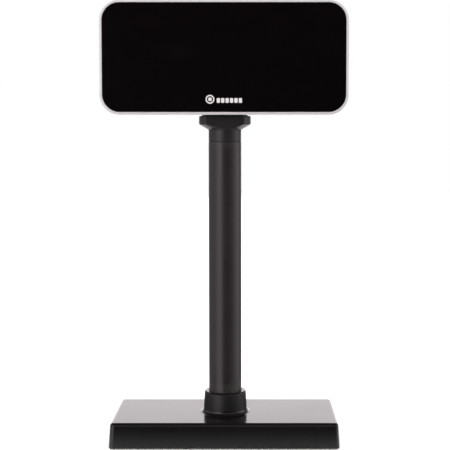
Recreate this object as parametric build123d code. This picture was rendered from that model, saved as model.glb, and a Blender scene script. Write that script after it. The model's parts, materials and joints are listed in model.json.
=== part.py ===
from build123d import *
import math
import os

# Customer pole display: a tilting, swivelling read-out head on a pole with a weighted base.
#
# Millimetres, +Z up. The origin is on the floor, on the axis of the pole. The display faces -Y and +X is
# on its viewer's right. Three bodies move: the base with the pole, the neck that turns on the pole about Z,
# and the head that tilts on the neck about X.

# ---- driving dimensions ----
# base
FEET_H = 1.8
SKIRT_Z = 1.2
BASE_TOP = 23.0
BASE_W = 205.2
BASE_D = 90.0
BASE_TOP_W = 202.8
BASE_TOP_D = 87.6
BASE_CORNER = 4.0
BASE_EDGE = 3.0
BASE_WALL = 2.5
PLATE_T = 3.0
# socket round the pole
BOSS_R_TOP = 19.0
BOSS_R_FOOT = 20.1
BOSS_TOP = 42.9
BOSS_BORE_R = 15.35
# pole
POLE_R = 15.0
POLE_WALL = 1.5
POLE_TOP = 272.0
# neck
SLEEVE_R = 14.9
SLEEVE_Z = 272.6
BUSH_STEP_R = 14.1
BUSH_STEP_TOP = 273.2
CONE_LOW = 283.2
CONE_HIGH = 288.2
COLLAR_R = 23.75
COLLAR_TOP = 295.6
COLLAR_FLOOR = 289.2
COLLAR_INNER_R = 21.2
FLAT_Y = 16.1
FLAT_WALL = 2.3
SPINDLE_R = 10.0
SPINDLE_BORE_R = 6.0
# head
HEAD_W = 220.8
HEAD_BOTTOM = 296.2
HEAD_TOP = 397.3
HEAD_CORNER = 18.0
FACE_Y = -28.0
BEZEL_BACK_Y = -21.5
SHELL_BACK_Y = 2.5
HEAD_WALL = 2.2
WINDOW_W = 216.0
WINDOW_CORNER = 15.6
TILT_Z = 322.5
BARREL_R = 25.6
HUMP_W = 92.0
LEAD_R = 2.0
GAP = 0.1

# ---- sizes that follow from them ----
HEAD_H = HEAD_TOP - HEAD_BOTTOM
HEAD_MID = (HEAD_TOP + HEAD_BOTTOM) / 2
PLATE_Z = FEET_H
PLATE_TOP = PLATE_Z + PLATE_T
FLANGE_T = 3.0
POLE_FOOT_Z = PLATE_TOP + FLANGE_T
POLE_BORE_R = POLE_R - POLE_WALL
SHELL_UNDER_Z = HEAD_BOTTOM + 0.7
WINDOW_H = HEAD_H - (HEAD_W - WINDOW_W)
WINDOW_T = 2.0
HALF_TURN = 180


# ---- helpers ----
def save(shape, name):
    """Write one sub-part."""
    export_step(shape, f"parts/{name}.step")


def group(solids):
    """Identical separate solids kept in one node."""
    return Compound(children=solids)


def at(shape, x=0.0, y=0.0, z=0.0):
    """Move a shape to a place."""
    return Pos(x, y, z) * shape


def rod(radius, z_low, z_high, x=0.0, y=0.0):
    """Upright cylinder between two heights."""
    height = z_high - z_low
    return at(Cylinder(radius, height), x, y, z_low + height / 2)


def ring(r_out, r_in, z_low, z_high, x=0.0, y=0.0):
    """Upright tube between two heights."""
    return rod(r_out, z_low, z_high, x, y) - rod(r_in, z_low - 1, z_high + 1, x, y)


def rod_x(radius, x_low, x_high, y, z):
    """Cylinder along X."""
    length = x_high - x_low
    return Pos(x_low + length / 2, y, z) * Rot(0, 90, 0) * Cylinder(radius, length)


def ring_x(r_out, r_in, x_low, x_high, y, z):
    """Tube along X."""
    return rod_x(r_out, x_low, x_high, y, z) - rod_x(r_in, x_low - 1, x_high + 1, y, z)


def rod_y(radius, y_low, y_high, x, z):
    """Cylinder along Y."""
    length = y_high - y_low
    return Pos(x, y_low + length / 2, z) * Rot(90, 0, 0) * Cylinder(radius, length)


def block(x_low, x_high, y_low, y_high, z_low, z_high):
    """Box between two corners."""
    size = (x_high - x_low, y_high - y_low, z_high - z_low)
    return Pos((x_low + x_high) / 2, (y_low + y_high) / 2, (z_low + z_high) / 2) * Box(*size)


def face_slab(width, height, radius, y_front, y_back, z_mid=HEAD_MID):
    """Rounded rectangle in the plane of the display, given a thickness along Y."""
    plane = Plane(origin=(0, y_front, z_mid), x_dir=(1, 0, 0), z_dir=(0, 1, 0))
    return extrude(plane * RectangleRounded(width, height, radius), y_back - y_front)


def turned(points):
    """Solid of revolution about Z from an outline of (radius, height) corners."""
    outline = Polyline(*[(r, 0, z) for r, z in points], close=True)
    return revolve(make_face(outline), Axis.Z)


def corners(x, y):
    """The four places at plus and minus x and y."""
    return [(-x, -y), (x, -y), (x, y), (-x, y)]


def pan_screw(r_shank, r_head, head_h, z_tip, z_seat, x, y):
    """Upright screw with its head on top and a hexagonal recess."""
    shank = rod(r_shank, z_tip, z_seat, x, y)
    head = rod(r_head, z_seat, z_seat + head_h, x, y)
    head = chamfer(head.edges().group_by(Axis.Z)[-1], head_h * 0.25)
    recess = extrude(Pos(x, y, z_seat + head_h * 0.4) * RegularPolygon(r_head * 0.5, 6), head_h)
    return shank + head - recess


def screw_y(r_shank, r_head, head_h, seat, tip, x, z):
    """Screw along Y with its head on the side of the seat away from the tip."""
    outward = 1 if seat > tip else -1
    shank = rod_y(r_shank, min(seat, tip), max(seat, tip), x, z)
    head_end = seat + outward * head_h
    head = rod_y(r_head, min(seat, head_end), max(seat, head_end), x, z)
    head = chamfer(head.edges().group_by(Axis.Y)[-1 if outward > 0 else 0], head_h * 0.25)
    bit = r_head * 0.28
    low, high = sorted((seat + outward * head_h * 0.4, head_end + outward))
    cross = block(x - r_head * 0.65, x + r_head * 0.65, low, high, z - bit, z + bit)
    cross += block(x - bit, x + bit, low, high, z - r_head * 0.65, z + r_head * 0.65)
    return shank + head - cross


def flat_screw(r_shank, r_head, z_head, z_tip, x, y):
    """Countersunk screw driven upwards from below, its head flush at z_head."""
    sink = r_head - r_shank
    cone = at(Cone(r_head, r_shank, sink), x, y, z_head + sink / 2)
    recess = extrude(Pos(x, y, z_head - 0.1) * RegularPolygon(r_head * 0.45, 6), sink * 0.7)
    return cone + rod(r_shank, z_head + sink, z_tip, x, y) - recess


def flat_sink(r_shank, r_head, z_head, z_top, x, y):
    """Hole for a countersunk screw driven upwards from below."""
    depth = r_head - r_shank
    cone = at(Cone(r_head + GAP, r_shank + GAP, depth), x, y, z_head + depth / 2)
    return cone + rod(r_shank + GAP, z_head + depth, z_top, x, y)


# ---- base ----
BASE_SCREW_X = 92.0
BASE_SCREW_Y = 34.0
BALLAST_X = 57.0
BALLAST_W = 56.0
BALLAST_D = 62.0
BALLAST_H = 13.0
BALLAST_SCREW_Y = 22.0
FOOT_X = 82.0
FOOT_Y = 26.0
FLANGE_X = 22.0
FLANGE_FRONT = -22.0
FLANGE_REAR = 16.5
FLANGE_SCREW_X = 18.0
FLANGE_SCREW_FRONT = -17.0
FLANGE_SCREW_REAR = 12.0
SPIGOT_R = POLE_BORE_R - 0.05
SPIGOT_BORE_R = 10.6
SPIGOT_TOP = 34.0
POLE_SCREW_Z = 27.0
LEAD_Z = 11.4
LEAD_BEND = 11.0
NOTCH_X = 3.6
NOTCH_TOP = 19.5
PORT_W = 13.4
PORT_H = 10.4
BOARD_Z = PLATE_TOP + 2.2
BOARD_T = 1.6
BOARD_TOP = BOARD_Z + BOARD_T
BOARD_X = 20.0
BOARD_FRONT = 18.0
BOARD_REAR = 41.3
SCREW_R = 1.5
SCREW_HEAD_R = 2.9


def drafted(width, depth, top_width, top_depth, radius, z_low, z_high):
    """Rounded block whose sides lean in towards the top."""
    lower = Pos(0, 0, z_low) * RectangleRounded(width, depth, radius)
    upper = Pos(0, 0, z_high) * RectangleRounded(top_width, top_depth, radius)
    return loft([lower, upper])


def base_outer():
    """Outside of the base cover, with its rolled top edge."""
    body = drafted(BASE_W, BASE_D, BASE_TOP_W, BASE_TOP_D, BASE_CORNER, SKIRT_Z, BASE_TOP)
    return fillet(body.edges().group_by(Axis.Z)[-1], BASE_EDGE)


def base_inner(clearance=0.0):
    """Hollow of the base cover, open underneath."""
    inset = 2 * (BASE_WALL + clearance)
    radius = BASE_CORNER - BASE_WALL + 0.6
    roof = BASE_TOP - BASE_WALL
    return drafted(BASE_W - inset, BASE_D - inset, BASE_TOP_W - inset, BASE_TOP_D - inset,
                   radius, SKIRT_Z - 0.01, roof)


def socket_boss():
    """Tapered collar moulded on the cover round the pole, with its rounded lip and foot."""
    cone = at(Cone(BOSS_R_FOOT, BOSS_R_TOP, BOSS_TOP - BASE_TOP + 0.5), z=(BOSS_TOP + BASE_TOP - 0.5) / 2)
    return fillet(cone.edges().group_by(Axis.Z)[-1], 1.8)


def boss_foot():
    """Concave sweep that blends the socket into the top of the cover."""
    reach = 3.6
    side_r = BOSS_R_FOOT - 0.22
    r_in = BOSS_R_FOOT - 0.8
    corner = (side_r + reach, BASE_TOP)
    upper = (side_r, BASE_TOP + reach)
    middle = (corner[0] - reach * math.sin(math.pi / 4), upper[1] - reach * math.sin(math.pi / 4))
    arc = ThreePointArc((corner[0], 0, corner[1]), (middle[0], 0, middle[1]), (upper[0], 0, upper[1]))
    rest = Polyline((upper[0], 0, upper[1]), (r_in, 0, upper[1]), (r_in, 0, BASE_TOP - 0.5),
                    (corner[0], 0, BASE_TOP - 0.5), (corner[0], 0, corner[1]))
    return revolve(make_face(arc + rest), Axis.Z)


def screw_post(x, y):
    """Post under the roof of the cover that a base screw bites into."""
    return rod(3.6, PLATE_TOP + 0.1, BASE_TOP - BASE_WALL + 0.5, x, y)


def port_cutout():
    """Opening in the rear wall of the cover for the data socket."""
    return block(-PORT_W / 2 - 0.4, PORT_W / 2 + 0.4, 38, 50, BOARD_TOP - 0.4, BOARD_TOP + PORT_H + 0.4)


def base_cover():
    """Glossy moulded cover, with the socket for the pole and posts for the base screws."""
    inside = base_inner()
    cover = base_outer() + socket_boss() + boss_foot() - inside
    for x, y in corners(BASE_SCREW_X, BASE_SCREW_Y):
        post = screw_post(x, y) - rod(SCREW_R - 0.05, PLATE_TOP, BASE_TOP - BASE_WALL - 1, x, y)
        cover += post
    cover -= rod(BOSS_BORE_R, SKIRT_Z, BOSS_TOP + 1)
    return cover - port_cutout()


def base_plate():
    """Steel plate that closes the base and carries everything in it."""
    plate = base_inner(0.3) & block(-200, 200, -100, 100, PLATE_Z, PLATE_TOP)
    for x, y in corners(BASE_SCREW_X, BASE_SCREW_Y):
        plate -= flat_sink(SCREW_R, SCREW_HEAD_R, PLATE_Z, PLATE_TOP + 1, x, y)
    for x, y in ballast_screw_places() + flange_screw_places():
        plate -= flat_sink(SCREW_R, SCREW_HEAD_R, PLATE_Z, PLATE_TOP + 1, x, y)
    for x, y in standoff_places():
        plate -= rod(1.25, PLATE_Z - 1, PLATE_TOP + 1, x, y)
    return plate


def ballast_screw_places():
    """Two screws under each ballast weight."""
    return [(side * BALLAST_X, y) for side in (-1, 1) for y in (-BALLAST_SCREW_Y, BALLAST_SCREW_Y)]


def flange_screw_places():
    """Screws under the foot of the pole."""
    front = [(-FLANGE_SCREW_X, FLANGE_SCREW_FRONT), (FLANGE_SCREW_X, FLANGE_SCREW_FRONT)]
    return front + [(-FLANGE_SCREW_X, FLANGE_SCREW_REAR), (FLANGE_SCREW_X, FLANGE_SCREW_REAR)]


def standoff_places():
    """Screws that hold the interface board."""
    return [(side * (BOARD_X - 3.5), y) for side in (-1, 1) for y in (BOARD_FRONT + 4, BOARD_REAR - 4)]


def ballast(side):
    """Cast weight inside one end of the base."""
    half_w = BALLAST_W / 2
    half_d = BALLAST_D / 2
    weight = block(-half_w, half_w, -half_d, half_d, PLATE_TOP, PLATE_TOP + BALLAST_H)
    weight = chamfer(weight.edges().group_by(Axis.Z)[-1], 1.5)
    weight = at(weight, side * BALLAST_X)
    for y in (-BALLAST_SCREW_Y, BALLAST_SCREW_Y):
        weight -= rod(SCREW_R + 0.02, PLATE_TOP - 1, PLATE_TOP + 8, side * BALLAST_X, y)
    return weight


def screws_below(places, tip):
    """Countersunk screws driven up through the base plate."""
    return [flat_screw(SCREW_R - 0.07, SCREW_HEAD_R, PLATE_Z, tip, x, y) for x, y in places]


def rubber_feet():
    """Round feet stuck under the base plate."""
    feet = []
    for x, y in corners(FOOT_X, FOOT_Y):
        foot = rod(7.0, 0, FEET_H, x, y)
        feet.append(fillet(foot.edges().group_by(Axis.Z)[0], 0.8))
    return feet


def pole_foot():
    """Flanged steel foot: a plate on the base plate with a hollow spigot up inside the pole."""
    plate = block(-FLANGE_X, FLANGE_X, FLANGE_FRONT, FLANGE_REAR, PLATE_TOP, POLE_FOOT_Z)
    plate = fillet(plate.edges().filter_by(Axis.Z), 4)
    foot = plate + rod(SPIGOT_R, POLE_FOOT_Z, SPIGOT_TOP)
    foot -= rod(SPIGOT_BORE_R, POLE_FOOT_Z, SPIGOT_TOP + 1)
    foot -= block(-NOTCH_X, NOTCH_X, 0, 20, POLE_FOOT_Z, NOTCH_TOP)
    foot -= rod_x(1.3, -20, 20, 0, POLE_SCREW_Z)
    for x, y in flange_screw_places():
        foot -= rod(SCREW_R + 0.02, PLATE_TOP - 1, POLE_FOOT_Z + 1, x, y)
    return foot


def pole_tube():
    """Painted tube of the pole."""
    tube = ring(POLE_R, POLE_BORE_R, POLE_FOOT_Z, POLE_TOP)
    tube -= block(-NOTCH_X, NOTCH_X, 0, 20, POLE_FOOT_Z - 1, NOTCH_TOP)
    return tube - rod_x(1.3, -20, 20, 0, POLE_SCREW_Z)


def pole_screws():
    """Grub screws through the pole into its foot, hidden in the socket."""
    return [rod_x(1.25, side * 13 - 2, side * 13 + 2, 0, POLE_SCREW_Z) for side in (-1, 1)]


def port_board():
    """Interface board at the back of the base."""
    board = block(-BOARD_X, BOARD_X, BOARD_FRONT, BOARD_REAR, BOARD_Z, BOARD_TOP)
    for x, y in standoff_places():
        board -= rod(1.35, BOARD_Z - 1, BOARD_TOP + 1, x, y)
    return board


def board_standoffs():
    """Brass spacers between the base plate and the board."""
    return [ring(2.6, 1.3, PLATE_TOP, BOARD_Z, x, y) for x, y in standoff_places()]


def board_screws():
    """Screws through the board and its spacers into the base plate."""
    return [pan_screw(1.2, 2.5, 1.5, PLATE_Z + 0.4, BOARD_TOP, x, y) for x, y in standoff_places()]


PORT_FRONT = 27.5
PORT_REAR = 43.0
PORT_MOUTH_W = 9.8
PORT_MOUTH_H = 6.6
CONTACT_PITCH = 1.02
CONTACT_COUNT = 6


def data_socket():
    """Modular data socket: a box with a stepped mouth at the back."""
    z_low = BOARD_TOP
    z_high = z_low + PORT_H
    body = block(-PORT_W / 2, PORT_W / 2, PORT_FRONT, PORT_REAR, z_low, z_high)
    mouth_low = z_low + 2.0
    mouth = block(-PORT_MOUTH_W / 2, PORT_MOUTH_W / 2, PORT_FRONT + 2, PORT_REAR + 1,
                  mouth_low, mouth_low + PORT_MOUTH_H)
    latch = block(-2.2, 2.2, PORT_FRONT + 5, PORT_REAR + 1, mouth_low + PORT_MOUTH_H - 0.1, z_high - 0.8)
    return body - mouth - latch


def socket_contacts():
    """Sprung gold wires in the data socket."""
    z_low = BOARD_TOP + 2.0
    wires = []
    for index in range(CONTACT_COUNT):
        x = (index - (CONTACT_COUNT - 1) / 2) * CONTACT_PITCH
        wire = block(x - 0.2, x + 0.2, PORT_FRONT + 2, PORT_FRONT + 3, z_low, z_low + 1.4)
        wires.append(wire)
    return wires


def lead_header():
    """Header on the board that the pole lead plugs into."""
    return block(-4.5, 4.5, 20.0, 25.0, BOARD_TOP, BOARD_TOP + 5.6)


# ---- lead inside the pole ----
PLUG_LOW = 214.0
PLUG_HIGH = 234.0


def lead(points, radii):
    """Round lead along straight runs joined by tangent arcs."""
    path = FilletPolyline(*points, radius=radii)
    start = Plane(origin=path @ 0, z_dir=path % 0)
    return sweep(start * Circle(LEAD_R), path=path)


def pole_lead():
    """Lead from the header in the base, up the middle of the pole."""
    points = [(0, 20.0, LEAD_Z), (0, 0, LEAD_Z), (0, 0, PLUG_LOW)]
    return lead(points, [LEAD_BEND])


def inline_connector():
    """Plug and socket that join the pole lead to the head lead."""
    body = block(-5.5, 5.5, -4, 4, PLUG_LOW, PLUG_HIGH)
    body = fillet(body.edges().filter_by(Axis.Z), 1)
    latch = block(-2.5, 2.5, -6, -3.9, PLUG_LOW + 6, PLUG_HIGH - 4)
    joint_line = block(-7, 7, -7, 7, PLUG_LOW + 9.7, PLUG_LOW + 10.3)
    joint_line -= block(-5, 5, -3.5, 3.5, PLUG_LOW, PLUG_HIGH)
    return body + latch - joint_line


# ---- swivel ----
BUSH_LOW = 246.0
STOP_Z = 267.6
STOP_GROOVE_R = 12.4
STOP_GROOVE_LOW = 265.8
STOP_RIB_ANGLE = 17.0
SPINDLE_LOW = 236.0
SPINDLE_HEAD_R = 12.0
BRACKET_T = 2.5
BRACKET_TOP = COLLAR_FLOOR + BRACKET_T
SPINDLE_TOP = BRACKET_TOP + 1.5
NUT_LOW = 238.5
NUT_HIGH = 243.6
RUNNING = 0.05


def swivel_bush():
    """Acetal bush in the top of the pole, with a stop rib in its groove."""
    bush = ring(POLE_BORE_R - 0.05, SPINDLE_R + RUNNING, BUSH_LOW, POLE_TOP)
    bush += ring(SLEEVE_R - 0.15, SPINDLE_R + RUNNING, POLE_TOP, SLEEVE_Z - GAP)
    bush += ring(BUSH_STEP_R, SPINDLE_R + RUNNING, SLEEVE_Z - GAP, BUSH_STEP_TOP)
    groove = ring(STOP_GROOVE_R, SPINDLE_R - 1, STOP_GROOVE_LOW, SLEEVE_Z + 1)
    rib_half = STOP_GROOVE_R * math.tan(math.radians(STOP_RIB_ANGLE / 2))
    rib = extrude(make_face(Polyline((0, 0), (rib_half * 1.5, STOP_GROOVE_R * 1.5),
                                     (-rib_half * 1.5, STOP_GROOVE_R * 1.5), close=True)), 400)
    return bush - (groove - rib)


def stop_pin():
    """Pin across the spindle wall that meets the rib at each end of the swivel."""
    return rod_y(1.0, -11.9, -SPINDLE_BORE_R - 0.4, 0, STOP_Z)


def spindle():
    """Hollow steel spindle that the neck turns on."""
    body = ring(SPINDLE_R, SPINDLE_BORE_R, SPINDLE_LOW, SPINDLE_TOP)
    body += ring(SPINDLE_HEAD_R, SPINDLE_BORE_R, BRACKET_TOP, SPINDLE_TOP)
    return body - rod_y(1.02, -20, -3, 0, STOP_Z)


def disc_spring(r_out, r_in, z_low, rise, thick):
    """One conical spring washer."""
    z_high = z_low + thick
    return turned([(r_in, z_low + rise), (r_out, z_low), (r_out, z_high), (r_in, z_high + rise)])


def swivel_springs():
    """Two opposed disc springs that load the swivel."""
    upper = disc_spring(12.6, SPINDLE_R + 0.1, BUSH_LOW - 1.2, 0.5, 0.6)
    lower = Pos(0, 0, 2 * (BUSH_LOW - 1.2)) * Rot(HALF_TURN, 0, 0) * upper
    return [upper, lower]


def spindle_nut():
    """Ring nut on the lower end of the spindle, with two slots for its spanner."""
    nut = ring(12.8, SPINDLE_R + 0.02, NUT_LOW, NUT_HIGH - 0.2)
    for x, y in [(0, 11.6), (0, -11.6)]:
        nut -= rod(1.0, NUT_LOW - 1, NUT_LOW + 3, x, y)
    return nut


# ---- neck ----
SLEEVE_BORE_R = 12.4
SLEEVE_EASE = 1.6
COLLAR_ROUND = 2.0
COLLAR_EASE = 0.8
EAR_IN = 14.0
EAR_OUT = 16.0
EAR_HALF = 6.0
EAR_TOP_R = 7.5
PIN_R = 3.0
BRACKET_R = 20.6
BRACKET_HALF_D = 13.2
BRACKET_SCREW_X = 14.5
BRACKET_SCREW_Y = 9.4
CAP_TOP = 296.5
CAP_UNDER = 294.0


def round_edge(solid, radius, z):
    """The circular edge of this radius at this height."""
    circles = solid.edges().filter_by(GeomType.CIRCLE)
    return [edge for edge in circles if abs(edge.radius - radius) < 0.01 and abs(edge.arc_center.Z - z) < 0.01]


def between_flats(half_depth):
    """Slab that gives the collar its flat front and back."""
    return block(-2 * COLLAR_R, 2 * COLLAR_R, -half_depth, half_depth, SLEEVE_Z - 1, CAP_TOP + 1)


def neck_shell():
    """Moulded sleeve that widens through a cone into the collar, which is flat in front and behind."""
    shell = turned([(SLEEVE_BORE_R, SLEEVE_Z), (SLEEVE_R, SLEEVE_Z), (SLEEVE_R, CONE_LOW), (COLLAR_R, CONE_HIGH),
                    (COLLAR_R, COLLAR_TOP), (SLEEVE_BORE_R, COLLAR_TOP)])
    shell = fillet(round_edge(shell, SLEEVE_R, CONE_LOW), SLEEVE_EASE)
    shell &= between_flats(FLAT_Y)
    on_flats = [edge for edge in shell.edges() if abs(abs(edge.center().Y) - FLAT_Y) < 0.01]
    below_top = [edge for edge in on_flats if edge.center().Z < COLLAR_TOP - 0.1]
    shell = fillet(below_top + round_edge(shell, COLLAR_R, CONE_HIGH), COLLAR_ROUND)
    shell = fillet(shell.faces().sort_by(Axis.Z)[-1].outer_wire().edges(), COLLAR_EASE)
    shell -= rod(COLLAR_INNER_R, COLLAR_FLOOR, COLLAR_TOP + 1) & between_flats(FLAT_Y - FLAT_WALL)
    shell -= rod(BUSH_STEP_R + GAP, SLEEVE_Z - 1, BUSH_STEP_TOP + GAP)
    for x, y in bracket_screw_places():
        shell -= rod(1.12, COLLAR_FLOOR - 3.2, COLLAR_FLOOR + 1, x, y)
    return shell


def bracket_screw_places():
    """Screws at the corners of the bracket floor, as (x, y)."""
    return corners(BRACKET_SCREW_X, BRACKET_SCREW_Y)


def bracket_ear(side):
    """One upright ear of the tilt bracket, rounded over at the hinge pin."""
    x_low, x_high = sorted((side * EAR_IN, side * EAR_OUT))
    ear = block(x_low, x_high, -EAR_HALF, EAR_HALF, COLLAR_FLOOR, TILT_Z)
    ear += rod_x(EAR_TOP_R, x_low, x_high, 0, TILT_Z)
    return ear - rod_x(PIN_R + RUNNING, x_low - 1, x_high + 1, 0, TILT_Z)


def tilt_bracket():
    """Steel bracket bolted in the collar, with two ears for the hinge pin."""
    room = block(-BRACKET_R, BRACKET_R, -BRACKET_HALF_D, BRACKET_HALF_D, COLLAR_FLOOR - 1, BRACKET_TOP + 1)
    floor = ring(BRACKET_R, SPINDLE_R + GAP, COLLAR_FLOOR, BRACKET_TOP) & room
    for x, y in bracket_screw_places():
        floor -= rod(1.3, COLLAR_FLOOR - 1, BRACKET_TOP + 1, x, y)
    return floor + bracket_ear(-1) + bracket_ear(1)


def bracket_screws():
    """Screws that key the bracket to the collar."""
    return [pan_screw(1.1, 2.1, 1.4, COLLAR_FLOOR - 3.0, BRACKET_TOP, x, y) for x, y in bracket_screw_places()]


def neck_cap():
    """Cap that closes the collar round the bracket ears and the lead."""
    cap = rod(COLLAR_INNER_R - GAP, CAP_UNDER, CAP_TOP)
    cap += ring(COLLAR_INNER_R - GAP, BRACKET_R - 0.6, BRACKET_TOP + GAP, CAP_UNDER)
    cap &= between_flats(FLAT_Y - FLAT_WALL - GAP)
    cap = chamfer(cap.edges().group_by(Axis.Z)[-1], 0.4)
    for side in (-1, 1):
        middle = side * (EAR_IN + EAR_OUT) / 2
        cap -= block(middle - 1.3, middle + 1.3, -EAR_HALF - 0.3, EAR_HALF + 0.3, BRACKET_TOP, CAP_TOP + 1)
    opening = rod(SPINDLE_BORE_R, CAP_UNDER - 1, CAP_TOP + 1)
    opening += at(opening, 0, -2)
    return cap - opening


# ---- hinge in the head ----
WASHER_T = 0.8
CHEEK_IN = EAR_OUT + 0.1 + WASHER_T + 0.05
CHEEK_T = 1.6
CHEEK_OUT = CHEEK_IN + CHEEK_T
FRAME_FRONT = -9.0
FRAME_BACK = FRAME_FRONT + CHEEK_T
FRAME_HALF_W = 57.5
FRAME_LOW = 303.0
FRAME_HIGH = 346.0
FRAME_SCREW_X = 52.0
FRAME_SCREW_Z = (309.0, 340.0)
SPRING_T = 0.7
NUT_T = 4.6


def hinge_frame():
    """Steel plate across the head with a window for the bracket and two cheeks for the hinge pin."""
    plate = block(-FRAME_HALF_W, FRAME_HALF_W, FRAME_FRONT, FRAME_BACK, FRAME_LOW, FRAME_HIGH)
    plate = fillet(plate.edges().filter_by(Axis.Y), 3)
    plate -= block(-CHEEK_IN, CHEEK_IN, -30, 0, FRAME_LOW - 1, TILT_Z + 13)
    for side in (-1, 1):
        x_low, x_high = sorted((side * CHEEK_IN, side * CHEEK_OUT))
        cheek = block(x_low, x_high, FRAME_FRONT, 0, TILT_Z - 8, TILT_Z + 8)
        cheek += rod_x(8.0, x_low, x_high, 0, TILT_Z)
        plate += cheek - rod_x(PIN_R + 0.02, x_low - 1, x_high + 1, 0, TILT_Z)
    for x, z in frame_screw_places():
        plate -= rod_y(1.6, FRAME_FRONT - 1, FRAME_BACK + 1, x, z)
    return plate


def frame_screw_places():
    """Screws that hold the hinge frame to the rear cover, as (x, z)."""
    return [(side * FRAME_SCREW_X, z) for side in (-1, 1) for z in FRAME_SCREW_Z]


def hinge_frame_screws():
    """Screws through the hinge frame into the posts of the rear cover."""
    tip = SHELL_BACK_Y - HEAD_WALL - 2
    return [screw_y(1.3, 2.9, 1.6, FRAME_FRONT, tip, x, z) for x, z in frame_screw_places()]


def hinge_pin():
    """Pin that the head tilts on, with a round head and a threaded end."""
    left = -CHEEK_OUT - 0.05
    right = CHEEK_OUT + 2 * SPRING_T + NUT_T + 1.6
    pin = rod_x(PIN_R, left, right, 0, TILT_Z)
    head = rod_x(5.2, left - 2.6, left, 0, TILT_Z)
    head = fillet(head.edges().group_by(Axis.X)[0], 1.2)
    slot = block(left - 4, left - 1.6, -6, 6, TILT_Z - 0.6, TILT_Z + 0.6)
    return pin + head - slot


def friction_washers():
    """Fibre washers between the bracket ears and the cheeks."""
    washers = []
    for side in (-1, 1):
        x_low, x_high = sorted((side * (EAR_OUT + 0.1), side * (EAR_OUT + 0.1 + WASHER_T)))
        washers.append(ring_x(7.2, PIN_R + 0.05, x_low, x_high, 0, TILT_Z))
    return washers


def hinge_springs():
    """Two opposed disc springs under the lock nut."""
    cone = turned([(PIN_R + 0.05, 0.45), (6.2, 0.0), (6.2, 0.35), (PIN_R + 0.05, 0.8)])
    first = Pos(CHEEK_OUT + 0.05, 0, TILT_Z) * Rot(0, 90, 0) * cone
    second = Pos(CHEEK_OUT + 1.7, 0, TILT_Z) * Rot(0, -90, 0) * cone
    return [first, second]


def lock_nut():
    """Hexagonal nut with a nylon ring that sets the tilt friction."""
    start = CHEEK_OUT + 1.75
    nut = extrude(Plane(origin=(start, 0, TILT_Z), z_dir=(1, 0, 0)) * RegularPolygon(5.8, 6), NUT_T - 1.4)
    nut += rod_x(4.6, start + NUT_T - 1.4, start + NUT_T, 0, TILT_Z)
    return nut - rod_x(PIN_R + 0.02, start - 1, start + NUT_T + 1, 0, TILT_Z)


# ---- head casing ----
PART_LINE_Y = BEZEL_BACK_Y
SHELL_MARGIN = 0.7
SHELL_CORNER = HEAD_CORNER - SHELL_MARGIN
HUMP_TOP = 372.0
COVER_SCREW_X = 103.3
COVER_SCREW_DZ = 39.0
VENT_COUNT = 9
VENT_PITCH = 6.0
SLOT_X = 17.6
SLOT_FRONT = -6.4
SLOT_REAR = 19.8
HOUSING_GAP = 0.12
FLANGE_WALL = 1.5
FLANGE_LAP = 2.0
FLANGE_LOW = 306.0


def bezel():
    """Silver frame with a rolled outer edge, a ledge behind the window and posts for the cover screws."""
    outer = face_slab(HEAD_W, HEAD_H, HEAD_CORNER, FACE_Y, BEZEL_BACK_Y)
    outer = fillet(outer.edges().group_by(Axis.Y)[0], 1.1)
    opening = face_slab(WINDOW_W + 0.2, WINDOW_H + 0.2, WINDOW_CORNER + 0.1, FACE_Y - 1, BEZEL_BACK_Y + 1)
    frame = outer - opening
    frame -= chamfer_ring()
    ledge = face_slab(WINDOW_W + 1, WINDOW_H + 1, WINDOW_CORNER + 0.5, FACE_Y + 3.2, FACE_Y + 4.8)
    ledge -= face_slab(WINDOW_W - 7, WINDOW_H - 7, WINDOW_CORNER - 3.5, FACE_Y, BEZEL_BACK_Y)
    frame += ledge
    for x, z in cover_screw_places():
        post = rod_y(2.4, FACE_Y + 4.0, BEZEL_BACK_Y + 4, x, z)
        frame += post & face_slab(WINDOW_W, WINDOW_H, WINDOW_CORNER, FACE_Y, BEZEL_BACK_Y + 4)
        frame -= rod_y(1.15, FACE_Y + 4.6, BEZEL_BACK_Y + 5, x, z)
    return frame


def chamfer_ring():
    """Cut that eases the inner front edge of the bezel."""
    wide = face_slab(WINDOW_W + 1.0, WINDOW_H + 1.0, WINDOW_CORNER + 0.5, FACE_Y - 0.4, FACE_Y + 0.4)
    return chamfer(wide.edges().group_by(Axis.Y)[-1], 0.39)


def window():
    """Black gloss window, its edge eased, a hair below the face of the bezel."""
    pane = face_slab(WINDOW_W, WINDOW_H, WINDOW_CORNER, FACE_Y + 0.2, FACE_Y + 0.2 + WINDOW_T)
    return chamfer(pane.edges().group_by(Axis.Y)[0], 0.25)


def window_gasket():
    """Foam tape between the window and the ledge of the bezel."""
    front = FACE_Y + 0.2 + WINDOW_T
    tape = face_slab(WINDOW_W - 0.6, WINDOW_H - 0.6, WINDOW_CORNER - 0.3, front, FACE_Y + 3.2)
    return tape - face_slab(WINDOW_W - 6.4, WINDOW_H - 6.4, WINDOW_CORNER - 3.2, FACE_Y, FACE_Y + 5)


def cover_screw_places():
    """Screws that hold the rear cover to the bezel, as (x, z)."""
    return [(x, HEAD_MID + dz) for x, dz in corners(COVER_SCREW_X, COVER_SCREW_DZ)]


def shell_slab(inset):
    """Pan of the rear cover, or its hollow when inset by the wall."""
    low = SHELL_UNDER_Z + inset
    high = HEAD_TOP - SHELL_MARGIN - inset
    width = HEAD_W - 2 * SHELL_MARGIN - 2 * inset
    front = PART_LINE_Y - (1 if inset else 0)
    slab = face_slab(width, high - low, SHELL_CORNER - inset, front, SHELL_BACK_Y - inset, (low + high) / 2)
    edge_radius = 9.0 - inset
    return fillet(slab.edges().group_by(Axis.Y)[-1], edge_radius)


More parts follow.
